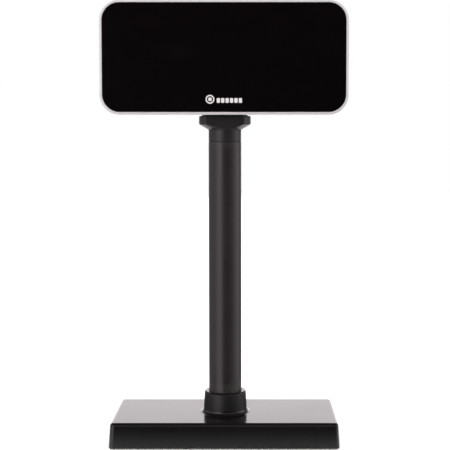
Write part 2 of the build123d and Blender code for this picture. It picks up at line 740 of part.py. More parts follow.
def hump_outline(inset):
    """Side outline of the hinge hump: round about the tilt axis, then sloping in to the back of the pan."""
    radius = BARREL_R - inset
    slope_end = (SHELL_BACK_Y - inset - 1.0, HUMP_TOP - inset)
    distance = math.hypot(slope_end[0], slope_end[1] - TILT_Z)
    toward = math.atan2(slope_end[1] - TILT_Z, slope_end[0])
    touch = toward - math.acos(radius / distance)
    middle = (touch - math.pi / 2) / 2
    bottom = (0, TILT_Z - radius)

    def on_barrel(angle):
        return (0, radius * math.cos(angle), TILT_Z + radius * math.sin(angle))

    arc = ThreePointArc((0, bottom[0], bottom[1]), on_barrel(middle), on_barrel(touch))
    front = SHELL_BACK_Y - 8.0
    rest = Polyline(on_barrel(touch), (0, slope_end[0], slope_end[1]), (0, front, slope_end[1]),
                    (0, front, bottom[1]), (0, bottom[0], bottom[1]))
    return make_face(arc + rest)


def hump(inset):
    """Hump on the back of the cover that holds the hinge, or its hollow."""
    half = HUMP_W / 2 - inset
    solid = extrude(Pos(-half, 0, 0) * hump_outline(inset), 2 * half, dir=(1, 0, 0))
    return solid


def vents():
    """Slots that let heat out of the back, in two groups."""
    cuts = []
    for side in (-1, 1):
        for index in range(VENT_COUNT):
            z = HEAD_MID + (index - (VENT_COUNT - 1) / 2) * VENT_PITCH
            cut = face_slab(30, 2.2, 1.05, SHELL_BACK_Y - 6, SHELL_BACK_Y + 3, z)
            cuts.append(at(cut, side * 72))
    return cuts


def casing_shell():
    """Outer wall of the pan and of the hump, open at the front and slotted for the tilt bracket."""
    wall = shell_slab(0) + rounded_hump() - shell_slab(HEAD_WALL) - hump(HEAD_WALL)
    return wall - block(-SLOT_X, SLOT_X, SLOT_FRONT, SLOT_REAR, HEAD_BOTTOM - 5, TILT_Z - 12)


def hump_zone(margin):
    """Room that belongs to the hinge housing, grown by a margin."""
    half = HUMP_W / 2 + margin
    return block(-half, half, -margin, 2 * BARREL_R, HEAD_BOTTOM - 5, HUMP_TOP + margin)


def rear_cover():
    """Black pan on the back of the head, open for the hinge housing, with vents and screw posts."""
    cover = casing_shell() - hump_zone(HOUSING_GAP)
    for cut in vents():
        cover -= cut
    for x, z in cover_screw_places():
        cover += rod_y(3.4, BEZEL_BACK_Y + 4.1, SHELL_BACK_Y - 0.5, x, z) & shell_slab(0)
        cover -= rod_y(1.35, BEZEL_BACK_Y, SHELL_BACK_Y + 5, x, z)
        cover -= rod_y(2.8, SHELL_BACK_Y - 3.5, SHELL_BACK_Y + 5, x, z)
    back_wall = SHELL_BACK_Y - HEAD_WALL / 2
    for x, z in frame_screw_places():
        cover += rod_y(3.6, FRAME_BACK, back_wall, x, z)
        cover -= rod_y(1.35, FRAME_BACK - 1, back_wall - 0.6, x, z)
    for x, z in display_screw_places():
        cover += rod_y(3.0, DISPLAY_BOARD_Y + DISPLAY_BOARD_T, back_wall, x, z)
        cover -= rod_y(1.1, DISPLAY_BOARD_Y, back_wall - 0.6, x, z)
    return cover


def hinge_housing():
    """Hump behind the pan that covers the hinge, with a flange bonded inside the wall of the pan."""
    housing = casing_shell() & hump_zone(0)
    inner_half = HUMP_W / 2 - HEAD_WALL
    flange_back = SHELL_BACK_Y - HEAD_WALL - HOUSING_GAP
    flange_front = flange_back - FLANGE_WALL
    outer_half = HUMP_W / 2 + FLANGE_LAP
    flange = block(-outer_half, outer_half, flange_front, flange_back, FLANGE_LOW, HUMP_TOP + FLANGE_LAP)
    flange += block(-HUMP_W / 2, HUMP_W / 2, flange_front, SHELL_BACK_Y - 1, FLANGE_LOW, HUMP_TOP)
    inner_top = HUMP_TOP - HEAD_WALL
    flange -= block(-inner_half, inner_half, flange_front - 1, SHELL_BACK_Y, FLANGE_LOW - 1, inner_top)
    return housing + flange


def cover_screws():
    """Screws from the back, sunk in the rear cover, that bite into the posts of the bezel."""
    seat = SHELL_BACK_Y - 3.5
    return [screw_y(1.1, 2.5, 1.7, seat, FACE_Y + 5.2, x, z) for x, z in cover_screw_places()]


def rounded_hump():
    """Outside of the hump with its end edges rolled over."""
    solid = hump(0)
    ends = [edge for edge in solid.edges() if is_hump_edge(edge)]
    return fillet(ends, 4.0)


def is_hump_edge(edge):
    """True for the outline edges at the two ends of the hump that stand behind the pan."""
    centre = edge.center()
    at_end = abs(abs(centre.X) - HUMP_W / 2) < 0.01 and edge.length > 9
    return at_end and centre.Y > SHELL_BACK_Y + 0.5


# ---- display ----
GLASS_W = 198.0
GLASS_H = 46.0
GLASS_FRONT = -23.6
GLASS_T = 7.6
GLASS_PAD_T = 0.9
DISPLAY_BOARD_W = 204.0
DISPLAY_BOARD_H = 62.0
DISPLAY_BOARD_Y = GLASS_FRONT + GLASS_T + GLASS_PAD_T
DISPLAY_BOARD_T = 1.6
DISPLAY_BACK = DISPLAY_BOARD_Y + DISPLAY_BOARD_T
DISPLAY_Z = HEAD_MID + 2
DISPLAY_SCREW_X = 97.5
DISPLAY_SCREW_DZ = 26.5
HEAD_LEAD_Y = DISPLAY_BACK + 2.2
HEAD_PLUG_Z = 325.0
HEADER_Z = 330.0


def display_screw_places():
    """Screws at the corners of the display board, as (x, z)."""
    return [(x, DISPLAY_Z + dz) for x, dz in corners(DISPLAY_SCREW_X, DISPLAY_SCREW_DZ)]


def display_glass():
    """Sealed flat glass tube of the display."""
    glass = face_slab(GLASS_W, GLASS_H, 1.0, GLASS_FRONT, GLASS_FRONT + GLASS_T, DISPLAY_Z)
    return chamfer(glass.edges().group_by(Axis.Y)[0], 0.4)


def glass_pads():
    """Foam strips between the display glass and its board."""
    y_back = DISPLAY_BOARD_Y
    return [block(-GLASS_W / 2 + 6, GLASS_W / 2 - 6, y_back - GLASS_PAD_T, y_back, z - 3, z + 3)
            for z in (DISPLAY_Z - GLASS_H / 4, DISPLAY_Z + GLASS_H / 4)]


def display_board():
    """Circuit board behind the display glass."""
    board = face_slab(DISPLAY_BOARD_W, DISPLAY_BOARD_H, 1.5, DISPLAY_BOARD_Y, DISPLAY_BACK, DISPLAY_Z)
    for x, z in display_screw_places():
        board -= rod_y(1.25, DISPLAY_BOARD_Y - 1, DISPLAY_BACK + 1, x, z)
    return board


def display_screws():
    """Screws through the display board into the posts of the rear cover."""
    tip = DISPLAY_BACK + 9
    return [screw_y(1.05, 2.3, 1.5, DISPLAY_BOARD_Y, tip, x, z) for x, z in display_screw_places()]


def display_parts():
    """Driver chips, capacitors and the converter coil on the back of the display board."""
    parts = []
    for x in (-78.0, 66.0):
        parts.append(block(x - 7, x + 7, DISPLAY_BACK, DISPLAY_BACK + 2.2, DISPLAY_Z - 4, DISPLAY_Z + 10))
    for x in (72.0, 83.0):
        parts.append(rod_y(4.0, DISPLAY_BACK, DISPLAY_BACK + 9.5, x, DISPLAY_Z - 17))
    parts.append(block(-92, -80, DISPLAY_BACK, DISPLAY_BACK + 6.5, DISPLAY_Z - 22, DISPLAY_Z - 10))
    parts.append(block(-66, -61, DISPLAY_BACK, DISPLAY_BACK + 3.5, DISPLAY_Z - 20, DISPLAY_Z - 9))
    return parts


def display_header():
    """Header on the board that the head lead plugs into."""
    return block(-5, 5, DISPLAY_BACK, DISPLAY_BACK + 4.4, HEADER_Z, HEADER_Z + 6)


def head_plug():
    """Plug on the end of the head lead, pushed up into the header."""
    return block(-4.2, 4.2, DISPLAY_BACK + 0.2, DISPLAY_BACK + 4.2, HEAD_PLUG_Z, HEADER_Z)


def head_lead():
    """Lead from the inline connector, up through the spindle and past the hinge pin to its plug."""
    points = [(0, 0, PLUG_HIGH), (0, 0, 300.0), (0, HEAD_LEAD_Y, 315.0), (0, HEAD_LEAD_Y, HEAD_PLUG_Z)]
    return lead(points, [14.0, 12.0])


# ---- write every sub-part ----
os.makedirs("parts", exist_ok=True)

save(base_cover(), "base_cover")
save(base_plate(), "base_plate")
save(ballast(-1), "ballast_left")
save(ballast(1), "ballast_right")
save(group(screws_below(ballast_screw_places(), PLATE_TOP + 6)), "ballast_screws")
save(group(screws_below(corners(BASE_SCREW_X, BASE_SCREW_Y), PLATE_TOP + 8)), "base_screws")
save(group(rubber_feet()), "rubber_feet")
save(pole_foot(), "pole_foot")
save(group(screws_below(flange_screw_places(), POLE_FOOT_Z)), "pole_foot_screws")
save(group(pole_screws()), "pole_screws")
save(pole_tube(), "pole_tube")
save(port_board(), "port_board")
save(group(board_standoffs()), "board_standoffs")
save(group(board_screws()), "board_screws")
save(data_socket(), "data_socket")
save(group(socket_contacts()), "socket_contacts")
save(lead_header(), "lead_header")
save(pole_lead(), "pole_lead")
save(inline_connector(), "inline_connector")
save(swivel_bush(), "swivel_bush")

save(neck_shell(), "neck_shell")
save(neck_cap(), "neck_cap")
save(spindle(), "spindle")
save(stop_pin(), "stop_pin")
save(group(swivel_springs()), "swivel_springs")
save(spindle_nut(), "spindle_nut")
save(tilt_bracket(), "tilt_bracket")
save(group(bracket_screws()), "bracket_screws")

save(bezel(), "bezel")
save(window(), "window")
save(window_gasket(), "window_gasket")
save(display_glass(), "display_glass")
save(group(glass_pads()), "glass_pads")
save(display_board(), "display_board")
save(group(display_screws()), "display_screws")
save(group(display_parts()), "display_parts")
save(display_header(), "display_header")
save(head_plug(), "head_plug")
save(head_lead(), "head_lead")
save(rear_cover(), "rear_cover")
save(hinge_housing(), "hinge_housing")
save(group(cover_screws()), "cover_screws")
save(hinge_frame(), "hinge_frame")
save(group(hinge_frame_screws()), "hinge_frame_screws")
save(hinge_pin(), "hinge_pin")
save(group(friction_washers()), "friction_washers")
save(group(hinge_springs()), "hinge_springs")
save(lock_nut(), "lock_nut")
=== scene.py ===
import bpy
import bmesh
import json
import math
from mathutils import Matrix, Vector


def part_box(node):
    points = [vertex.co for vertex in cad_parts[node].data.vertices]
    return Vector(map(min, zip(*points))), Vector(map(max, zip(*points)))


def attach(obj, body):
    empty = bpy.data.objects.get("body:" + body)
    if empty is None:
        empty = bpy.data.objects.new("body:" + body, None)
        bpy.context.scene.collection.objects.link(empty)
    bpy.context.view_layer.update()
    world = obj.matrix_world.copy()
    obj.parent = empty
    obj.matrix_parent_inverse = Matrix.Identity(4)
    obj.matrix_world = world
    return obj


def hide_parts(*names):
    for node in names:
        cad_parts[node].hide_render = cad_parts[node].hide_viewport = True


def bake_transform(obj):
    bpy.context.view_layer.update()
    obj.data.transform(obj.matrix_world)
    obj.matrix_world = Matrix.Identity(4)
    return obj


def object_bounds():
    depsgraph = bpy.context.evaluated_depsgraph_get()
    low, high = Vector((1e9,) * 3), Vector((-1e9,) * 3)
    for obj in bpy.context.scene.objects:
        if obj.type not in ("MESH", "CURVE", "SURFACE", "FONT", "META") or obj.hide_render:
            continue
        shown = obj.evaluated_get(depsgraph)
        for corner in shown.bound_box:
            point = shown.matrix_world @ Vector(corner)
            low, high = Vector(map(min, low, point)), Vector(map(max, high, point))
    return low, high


# Customer pole display: materials, the mark on the window, the lead across the hinge, floor, light
# and camera, all set around the solids of the frame. Lengths are in metres.

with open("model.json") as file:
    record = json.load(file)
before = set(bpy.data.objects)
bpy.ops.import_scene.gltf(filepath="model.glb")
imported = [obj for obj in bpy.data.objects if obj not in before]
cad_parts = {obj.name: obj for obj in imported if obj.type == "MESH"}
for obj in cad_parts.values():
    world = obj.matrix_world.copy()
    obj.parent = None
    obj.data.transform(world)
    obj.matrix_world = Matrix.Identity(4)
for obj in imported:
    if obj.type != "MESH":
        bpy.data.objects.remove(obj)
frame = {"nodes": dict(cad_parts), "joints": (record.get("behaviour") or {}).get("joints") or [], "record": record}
nodes = frame["nodes"]
cad_low, cad_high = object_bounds()

scene = bpy.context.scene
scene.view_settings.view_transform = "Standard"


# ---------------------------------------------------------------- node helpers
class Tree:
    """Small wrapper that builds a node tree in code."""

    def __init__(self, tree):
        self.tree = tree

    def add(self, kind, inputs=None, **settings):
        node = self.tree.nodes.new(kind)
        for key, value in settings.items():
            setattr(node, key, value)
        for key, value in (inputs or {}).items():
            socket = node.inputs[key]
            if isinstance(value, bpy.types.NodeSocket):
                self.tree.links.new(value, socket)
            else:
                socket.default_value = value
        return node

    def link(self, source, target):
        self.tree.links.new(source, target)

    def math(self, operation, a, b=None, c=None, clamp=False):
        inputs = {0: a}
        if b is not None:
            inputs[1] = b
        if c is not None:
            inputs[2] = c
        return self.add("ShaderNodeMath", inputs, operation=operation, use_clamp=clamp).outputs[0]

    def remap(self, value, low, high, to_low, to_high, smooth=False):
        kind = "SMOOTHSTEP" if smooth else "LINEAR"
        inputs = {0: value, 1: low, 2: high, 3: to_low, 4: to_high}
        return self.add("ShaderNodeMapRange", inputs, interpolation_type=kind, clamp=True).outputs[0]

    def mix(self, factor, a, b):
        """Mixes two colours."""
        return self.add("ShaderNodeMix", {0: factor, 6: a, 7: b}, data_type="RGBA").outputs[2]

    def blend(self, factor, a, b):
        """Mixes two plain values."""
        return self.add("ShaderNodeMix", {0: factor, 2: a, 3: b}, data_type="FLOAT").outputs[0]

    def noise(self, coords, scale, detail=2.0, rough=0.5, distortion=0.0):
        inputs = {"Vector": coords, "Scale": scale, "Detail": detail, "Roughness": rough}
        inputs["Distortion"] = distortion
        return self.add("ShaderNodeTexNoise", inputs).outputs[0]

    def voronoi(self, coords, scale, feature="F1"):
        inputs = {"Vector": coords, "Scale": scale}
        return self.add("ShaderNodeTexVoronoi", inputs, feature=feature).outputs[0]

    def stretched(self, coords, x, y, z):
        return self.add("ShaderNodeMapping", {"Vector": coords, "Scale": (x, y, z)}).outputs[0]

    def bump(self, height, strength, distance, normal=None):
        inputs = {"Height": height, "Strength": strength, "Distance": distance}
        if normal is not None:
            inputs["Normal"] = normal
        return self.add("ShaderNodeBump", inputs).outputs[0]


def scaled(color, factor):
    return (color[0] * factor, color[1] * factor, color[2] * factor, 1.0)


def empty_material(name):
    material = bpy.data.materials.new(name)
    material.use_nodes = True
    material.node_tree.nodes.clear()
    return material, Tree(material.node_tree)


def new_material(name):
    material, tree = empty_material(name)
    shader = tree.add("ShaderNodeBsdfPrincipled")
    out = tree.add("ShaderNodeOutputMaterial")
    tree.link(shader.outputs[0], out.inputs[0])
    coords = tree.add("ShaderNodeTexCoord").outputs["Object"]
    return material, tree, shader, coords


def connect(tree, shader, color, rough, normal):
    """Links what every material works out for itself."""
    tree.link(color, shader.inputs["Base Color"])
    tree.link(rough, shader.inputs["Roughness"])
    tree.link(normal, shader.inputs["Normal"])


def mesh_object(name, mesh):
    """Turns a finished bmesh into an object of the scene."""
    data = bpy.data.meshes.new(name)
    mesh.to_mesh(data)
    mesh.free()
    obj = bpy.data.objects.new(name, data)
    scene.collection.objects.link(obj)
    return obj


# ---------------------------------------------------------------- masks
def wear_mask(tree, coords, low, high, reach, amount):
    """1 on worn spots along the outer edges of a box, where two of its sides meet, 0 elsewhere."""
    middle = (low + high) / 2
    half = (high - low) / 2
    centred = tree.add("ShaderNodeVectorMath", {0: coords, 1: middle}, operation="SUBTRACT").outputs[0]
    axes = tree.add("ShaderNodeSeparateXYZ", {0: centred})
    near = []
    for index in range(3):
        distance = tree.math("ABSOLUTE", axes.outputs[index])
        near.append(tree.remap(distance, half[index] - reach, half[index], 0.0, 1.0))
    pairs = [tree.math("MULTIPLY", near[a], near[b]) for a, b in ((0, 1), (1, 2), (0, 2))]
    edge = tree.math("MAXIMUM", tree.math("MAXIMUM", pairs[0], pairs[1]), pairs[2])
    speck = tree.noise(coords, 420.0, 6.0, 0.65)
    speck = tree.remap(speck, 0.52, 0.60, 0.0, amount)
    return tree.math("MULTIPLY", edge, speck, clamp=True)


def dust_mask(tree, coords, scale, size, amount):
    """Sparse small round specks."""
    spots = tree.voronoi(coords, scale)
    spots = tree.remap(spots, size, size * 0.5, 0.0, amount)
    patch = tree.remap(tree.noise(coords, scale * 0.07, 2.0), 0.48, 0.62, 0.0, 1.0)
    return tree.math("MULTIPLY", spots, patch, clamp=True)


def scratches(tree, coords, across, along, amount):
    """Hairlines: noise stretched along one direction and cut to thin threads."""
    threads = tree.noise(tree.stretched(coords, *across), 1.0, 3.0, 0.6, 0.4)
    threads = tree.math("ABSOLUTE", tree.math("SUBTRACT", threads, 0.5))
    threads = tree.remap(threads, 0.012, 0.002, 0.0, 1.0)
    patch = tree.remap(tree.noise(coords, along, 2.0), 0.50, 0.64, 0.0, amount)
    return tree.math("MULTIPLY", threads, patch, clamp=True)


# ---------------------------------------------------------------- materials
# Height over which a matt band fades in and out.
MATT_FADE = 0.0012


def black_plastic(name, color, rough, grain, grain_bump, box, peel=0.0, scuffs=0.25, matt=None):
    """Moulded black plastic: grain, mottled gloss, hairlines, dust and rubbed edges.

    Between the two heights in matt the moulding is rougher by the third number there.
    """
    material, tree, shader, coords = new_material(name)
    cloud = tree.noise(coords, 22.0, 4.0, 0.55)
    fine = tree.noise(coords, grain, 3.0, 0.6)
    base = tree.mix(cloud, scaled(color, 0.82), scaled(color, 1.22))
    base = tree.mix(tree.remap(fine, 0.35, 0.65, 0.0, 0.35), base, scaled(color, 1.7))
    dust = dust_mask(tree, coords, 260.0, 0.055, 0.35)
    base = tree.mix(dust, base, (0.13, 0.12, 0.115, 1.0))
    wear = wear_mask(tree, coords, box[0], box[1], 0.0035, 0.30)
    base = tree.mix(wear, base, (0.10, 0.097, 0.095, 1.0))
    lines = scratches(tree, coords, (90.0, 1600.0, 900.0), 30.0, scuffs)
    value = tree.remap(cloud, 0.3, 0.7, rough * 0.86, rough * 1.16)
    value = tree.math("ADD", value, tree.remap(fine, 0.3, 0.7, -0.03, 0.05))
    value = tree.math("ADD", value, tree.math("MULTIPLY", lines, 0.16))
    value = tree.math("ADD", value, tree.math("MULTIPLY", dust, 0.4))
    value = tree.math("ADD", value, tree.math("MULTIPLY", wear, 0.25), clamp=True)
    if matt:
        low, high, amount = matt
        height = tree.add("ShaderNodeSeparateXYZ", {0: coords}).outputs[2]
        band = tree.math("MULTIPLY", tree.remap(height, low, low + MATT_FADE, 0.0, amount),
                         tree.remap(height, high, high + MATT_FADE, 1.0, 0.0))
        value = tree.math("ADD", value, band, clamp=True)
    normal = tree.bump(fine, grain_bump, 0.00003)
    if peel:
        normal = tree.bump(tree.noise(coords, 330.0, 2.0), peel, 0.00004, normal)
    normal = tree.bump(lines, 0.10, 0.00002, normal)
    connect(tree, shader, base, value, normal)
    shader.inputs["IOR"].default_value = 1.5
    return material


def powder_coat(name, color, rough, box):
    """Powder-coated tube: orange peel, fine texture, rubbed bands near its ends, faint vertical wipes."""
    material, tree, shader, coords = new_material(name)
    cloud = tree.noise(coords, 26.0, 4.0, 0.6)
    texture = tree.noise(coords, 1500.0, 4.0, 0.65)
    peel = tree.voronoi(coords, 900.0, "SMOOTH_F1")
    wipes = tree.noise(tree.stretched(coords, 420.0, 420.0, 9.0), 1.0, 3.0, 0.6)
    base = tree.mix(cloud, scaled(color, 0.86), scaled(color, 1.18))
    base = tree.mix(tree.remap(texture, 0.4, 0.7, 0.0, 0.4), base, scaled(color, 1.6))
    dust = dust_mask(tree, coords, 240.0, 0.05, 0.30)
    base = tree.mix(dust, base, (0.14, 0.13, 0.125, 1.0))
    height = tree.add("ShaderNodeSeparateXYZ", {0: coords}).outputs[2]
    low_band = tree.remap(height, box[0].z + 0.046, box[0].z + 0.040, 0.0, 1.0)
    top_band = tree.remap(height, box[1].z - 0.006, box[1].z, 0.0, 1.0)
    bands = tree.math("MAXIMUM", low_band, top_band)
    rub = tree.math("MULTIPLY", bands, tree.remap(texture, 0.45, 0.6, 0.0, 0.35))
    base = tree.mix(rub, base, (0.085, 0.082, 0.080, 1.0))
    value = tree.remap(cloud, 0.3, 0.7, rough * 0.88, rough * 1.12)
    value = tree.math("ADD", value, tree.remap(wipes, 0.35, 0.7, -0.03, 0.05))
    value = tree.math("ADD", value, tree.remap(texture, 0.3, 0.7, -0.03, 0.03))
    value = tree.math("ADD", value, tree.math("MULTIPLY", rub, 0.2), clamp=True)
    normal = tree.bump(texture, 0.22, 0.00003)
    normal = tree.bump(peel, 0.10, 0.00006, normal)
    connect(tree, shader, base, value, normal)
    return material


def silver_paint(name, color, box):
    """Silver paint on a moulding: flakes, slight clouding, rubbed corners where the base shows through."""
    material, tree, shader, coords = new_material(name)
    flakes = tree.voronoi(coords, 5200.0)
    cloud = tree.noise(coords, 60.0, 3.0, 0.5)
    base = tree.mix(cloud, scaled(color, 0.93), scaled(color, 1.05))
    base = tree.mix(tree.remap(flakes, 0.1, 0.6, 0.0, 0.5), base, scaled(color, 0.80))
    wear = wear_mask(tree, coords, box[0], box[1], 0.0016, 0.35)
    base = tree.mix(wear, base, scaled(color, 0.55))
    value = tree.remap(cloud, 0.3, 0.7, 0.30, 0.40)
    value = tree.math("ADD", value, tree.remap(flakes, 0.1, 0.6, -0.03, 0.04), clamp=True)
    normal = tree.bump(flakes, 0.10, 0.00002)
    connect(tree, shader, base, value, normal)
    shader.inputs["Metallic"].default_value = 0.28
    return material


def dark_window(name, color):
    """Polished smoked acrylic: near-black, with wipe marks, a few finger smudges, dust and hairlines."""
    material, tree, shader, coords = new_material(name)
    smear = tree.noise(tree.stretched(coords, 26.0, 26.0, 90.0), 1.0, 4.0, 0.6, 0.8)
    smudge = tree.remap(tree.noise(coords, 38.0, 5.0, 0.6), 0.56, 0.70, 0.0, 1.0)
    dust = dust_mask(tree, coords, 300.0, 0.040, 0.30)
    lines = scratches(tree, coords, (700.0, 700.0, 60.0), 24.0, 0.35)
    base = tree.mix(smear, scaled(color, 0.8), scaled(color, 1.3))
    base = tree.mix(dust, base, (0.09, 0.085, 0.085, 1.0))
    value = tree.remap(smear, 0.35, 0.7, 0.045, 0.085)
    value = tree.math("ADD", value, tree.math("MULTIPLY", smudge, 0.07))
    value = tree.math("ADD", value, tree.math("MULTIPLY", dust, 0.5))
    value = tree.math("ADD", value, tree.math("MULTIPLY", lines, 0.15), clamp=True)
    normal = tree.bump(tree.noise(coords, 45.0, 2.0), 0.015, 0.0004)
    normal = tree.bump(lines, 0.05, 0.00001, normal)
    connect(tree, shader, base, value, normal)
    shader.inputs["IOR"].default_value = 1.49
    return material


def metal(name, color, rough, stretch, stain=0.75):
    """Plated or oiled steel and brass: brushed grain along one direction, stains and dull patches."""
    material, tree, shader, coords = new_material(name)
    brushed = tree.noise(tree.stretched(coords, *stretch), 1.0, 4.0, 0.6)
    cloud = tree.noise(coords, 90.0, 4.0, 0.6, 0.5)
    base = tree.mix(tree.remap(brushed, 0.3, 0.7, 0.0, 1.0), scaled(color, 0.86), scaled(color, 1.10))
    base = tree.mix(tree.remap(cloud, 0.55, 0.75, 0.0, 0.5), base, scaled(color, stain))
    value = tree.remap(brushed, 0.3, 0.7, rough * 0.8, rough * 1.2)
    value = tree.math("ADD", value, tree.remap(cloud, 0.5, 0.75, 0.0, 0.12), clamp=True)
    normal = tree.bump(brushed, 0.18, 0.00003)
    connect(tree, shader, base, value, normal)
    shader.inputs["Metallic"].default_value = 1.0
    return material


def soft_matte(name, color, rough, grain, strength, mottle=0.25, sheen=0.0):
    """Rubber, foam, nylon and castings: pitted grain with uneven colour."""
    material, tree, shader, coords = new_material(name)
    pits = tree.voronoi(coords, grain)
    cloud = tree.noise(coords, grain * 0.06, 4.0, 0.6)
    fine = tree.noise(coords, grain * 2.2, 3.0, 0.6)
    base = tree.mix(cloud, scaled(color, 1.0 - mottle), scaled(color, 1.0 + mottle))
    base = tree.mix(tree.remap(fine, 0.4, 0.7, 0.0, 0.3), base, scaled(color, 1.25))
    value = tree.remap(fine, 0.3, 0.7, rough - 0.08, rough + 0.08)
    height = tree.math("ADD", tree.math("MULTIPLY", pits, 0.6), tree.math("MULTIPLY", fine, 0.4))
    normal = tree.bump(height, strength, 0.00012)
    connect(tree, shader, base, value, normal)
    shader.inputs["Sheen Weight"].default_value = sheen
    return material


def circuit_board(name, color):
    """Green board: solder mask over tracks that run both ways, with tinned pads."""
    material, tree, shader, coords = new_material(name)
    cloud = tree.noise(coords, 70.0, 3.0)
    bricks = {"Vector": coords, "Scale": 210.0, "Mortar Size": 0.05, "Bias": -0.4}
    along = tree.add("ShaderNodeTexBrick", bricks)
    waves = {"Vector": coords, "Scale": 190.0, "Distortion": 3.0, "Detail": 1.0}
    rows = tree.add("ShaderNodeTexWave", waves)
    tracks = tree.math("MULTIPLY", along.outputs[1], tree.remap(rows.outputs[1], 0.45, 0.55, 0.2, 1.0))
    pads = tree.remap(tree.voronoi(coords, 330.0), 0.20, 0.17, 0.0, 1.0)
    base = tree.mix(cloud, scaled(color, 0.85), scaled(color, 1.15))
    base = tree.mix(tree.math("MULTIPLY", tracks, 0.6), base, scaled(color, 1.9))
    base = tree.mix(tree.math("MULTIPLY", pads, 0.7), base, (0.55, 0.55, 0.52, 1.0))
    value = tree.remap(tracks, 0.0, 1.0, 0.42, 0.30)
    normal = tree.bump(tracks, 0.25, 0.00004)
    connect(tree, shader, base, value, normal)
    return material


def print_ink(name):
    """White pad-printed ink, slightly uneven at its edges and thin in places."""
    material, tree, shader, coords = new_material(name)
    thin = tree.noise(coords, 1400.0, 4.0, 0.6)
    worn = tree.remap(thin, 0.45, 0.75, 0.0, 0.35)
    base = tree.mix(worn, (0.84, 0.83, 0.82, 1.0), (0.55, 0.54, 0.54, 1.0))
    value = tree.remap(thin, 0.3, 0.7, 0.45, 0.60)
    connect(tree, shader, base, value, tree.bump(thin, 0.2, 0.00002))
    return material


def glass_tube(name, color):
    """Display glass: clear smoked glass with the faint dot rows of the grid behind it."""
    material, tree, shader, coords = new_material(name)
    rows = tree.add("ShaderNodeTexBrick", {"Vector": coords, "Scale": 90.0})
    cloud = tree.noise(coords, 40.0, 3.0)
    base = tree.mix(rows.outputs[1], scaled(color, 0.9), scaled(color, 0.5))
    value = tree.remap(cloud, 0.3, 0.7, 0.04, 0.10)
    connect(tree, shader, base, value, tree.bump(cloud, 0.02, 0.0002))
    shader.inputs["Transmission Weight"].default_value = 0.4
    return material


base_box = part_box("base_cover")
pole_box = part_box("pole_tube")
head_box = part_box("rear_cover")
neck_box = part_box("neck_shell")
bezel_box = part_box("bezel")
# Frequency of the grain of metals along X, Y and Z: brushed along X, brushed along Z, and turned.
BRUSH_X = (60.0, 1800.0, 1800.0)
BRUSH_Z = (1500.0, 1500.0, 70.0)
SPUN = (1900.0, 1900.0, 160.0)
# Heights of the side of the socket, and how much rougher it is than the rest of the base.
SOCKET_MATT = (0.0266, 0.0416, 0.28)

finishes = {
    "base_plastic": black_plastic(
        "base_plastic", (0.0042, 0.0036, 0.0038), 0.16, 1900.0, 0.05, base_box, peel=0.05, matt=SOCKET_MATT
    ),
    "neck_plastic": black_plastic(
        "neck_plastic", (0.012, 0.0098, 0.0102), 0.34, 2600.0, 0.22, neck_box, scuffs=0.15
    ),
    "rear_plastic": black_plastic(
        "rear_plastic", (0.014, 0.0125, 0.0127), 0.42, 2300.0, 0.30, head_box, scuffs=0.15
    ),
    "pole_paint": powder_coat("pole_paint", (0.016, 0.0128, 0.0130), 0.32, pole_box),
    "bezel_silver": silver_paint("bezel_silver", (0.86, 0.85, 0.85), bezel_box),
    "window_gloss": dark_window("window_gloss", (0.0022, 0.0014, 0.0017)),
    "plated_steel": metal("plated_steel", (0.62, 0.61, 0.57), 0.30, BRUSH_X),
    "screw_steel": metal("screw_steel", (0.55, 0.55, 0.54), 0.26, SPUN),
    "spring_steel": metal("spring_steel", (0.34, 0.34, 0.36), 0.24, BRUSH_Z),
    "cast_ballast": soft_matte("cast_ballast", (0.09, 0.09, 0.10), 0.62, 520.0, 0.55),
    "foot_rubber": soft_matte("foot_rubber", (0.020, 0.020, 0.020), 0.78, 900.0, 0.35, sheen=0.15),
    "gasket_foam": soft_matte("gasket_foam", (0.030, 0.030, 0.031), 0.88, 1400.0, 0.60, sheen=0.2),
    "lead_jacket": soft_matte("lead_jacket", (0.022, 0.022, 0.023), 0.50, 1100.0, 0.15),
    "circuit_board": circuit_board("circuit_board", (0.020, 0.14, 0.07)),
    "chip_plastic": soft_matte("chip_plastic", (0.025, 0.025, 0.028), 0.55, 1700.0, 0.25),
    "connector_plastic": soft_matte("connector_plastic", (0.70, 0.67, 0.58), 0.45, 800.0, 0.10, mottle=0.06),
    "port_plastic": soft_matte("port_plastic", (0.016, 0.016, 0.016), 0.30, 1500.0, 0.10),
    # The bush is black plastic, and its colour is darkened further as painted shade. Its flange sits in the seam
    # between the pole and the neck sleeve and stands in for the shade of that gap.
    "bush_plastic": soft_matte("bush_plastic", (0.004, 0.004, 0.004), 0.80, 700.0, 0.10, mottle=0.10),
    "brass_parts": metal("brass_parts", (0.80, 0.58, 0.24), 0.25, SPUN, stain=0.7),
    "display_glass": glass_tube("display_glass", (0.20, 0.24, 0.24)),
}

slots = {part["node"]: part["material_slot"] for part in frame["record"]["subparts"]}
for name, obj in nodes.items():
    obj.data.materials.clear()
    obj.data.materials.append(finishes[slots[name]])


# ---------------------------------------------------------------- printed mark on the window
# A ring with a core, and a row of tiles to its right, in a thin layer of ink.
INK_GAP = 0.000005
INK_THICK = 0.00003
RING_X = -0.0125
RING_ABOVE_EDGE = 0.0112
RING_OUTER = 0.0039
RING_INNER = 0.0028
CORE_SIDE = 0.0030
CORE_ROUND = 0.0006
TILE_COUNT = 6
TILE_FIRST_X = -0.0051
TILE_PITCH = 0.0039
TILE_BELOW_RING = 0.0010
TILE_WIDTH = 0.0029
TILE_HEIGHT = 0.0042
TILE_ROUND = 0.0007


def flat_outline(mesh, points, y_front, y_back):
    """Adds a thin plate with this outline in X and Z."""
    front = [mesh.verts.new((x, y_front, z)) for x, z in points]
    back = [mesh.verts.new((x, y_back, z)) for x, z in points]
    mesh.faces.new(front)
    mesh.faces.new(list(reversed(back)))
    count = len(points)
    for index in range(count):
        after = (index + 1) % count
        mesh.faces.new((front[after], front[index], back[index], back[after]))


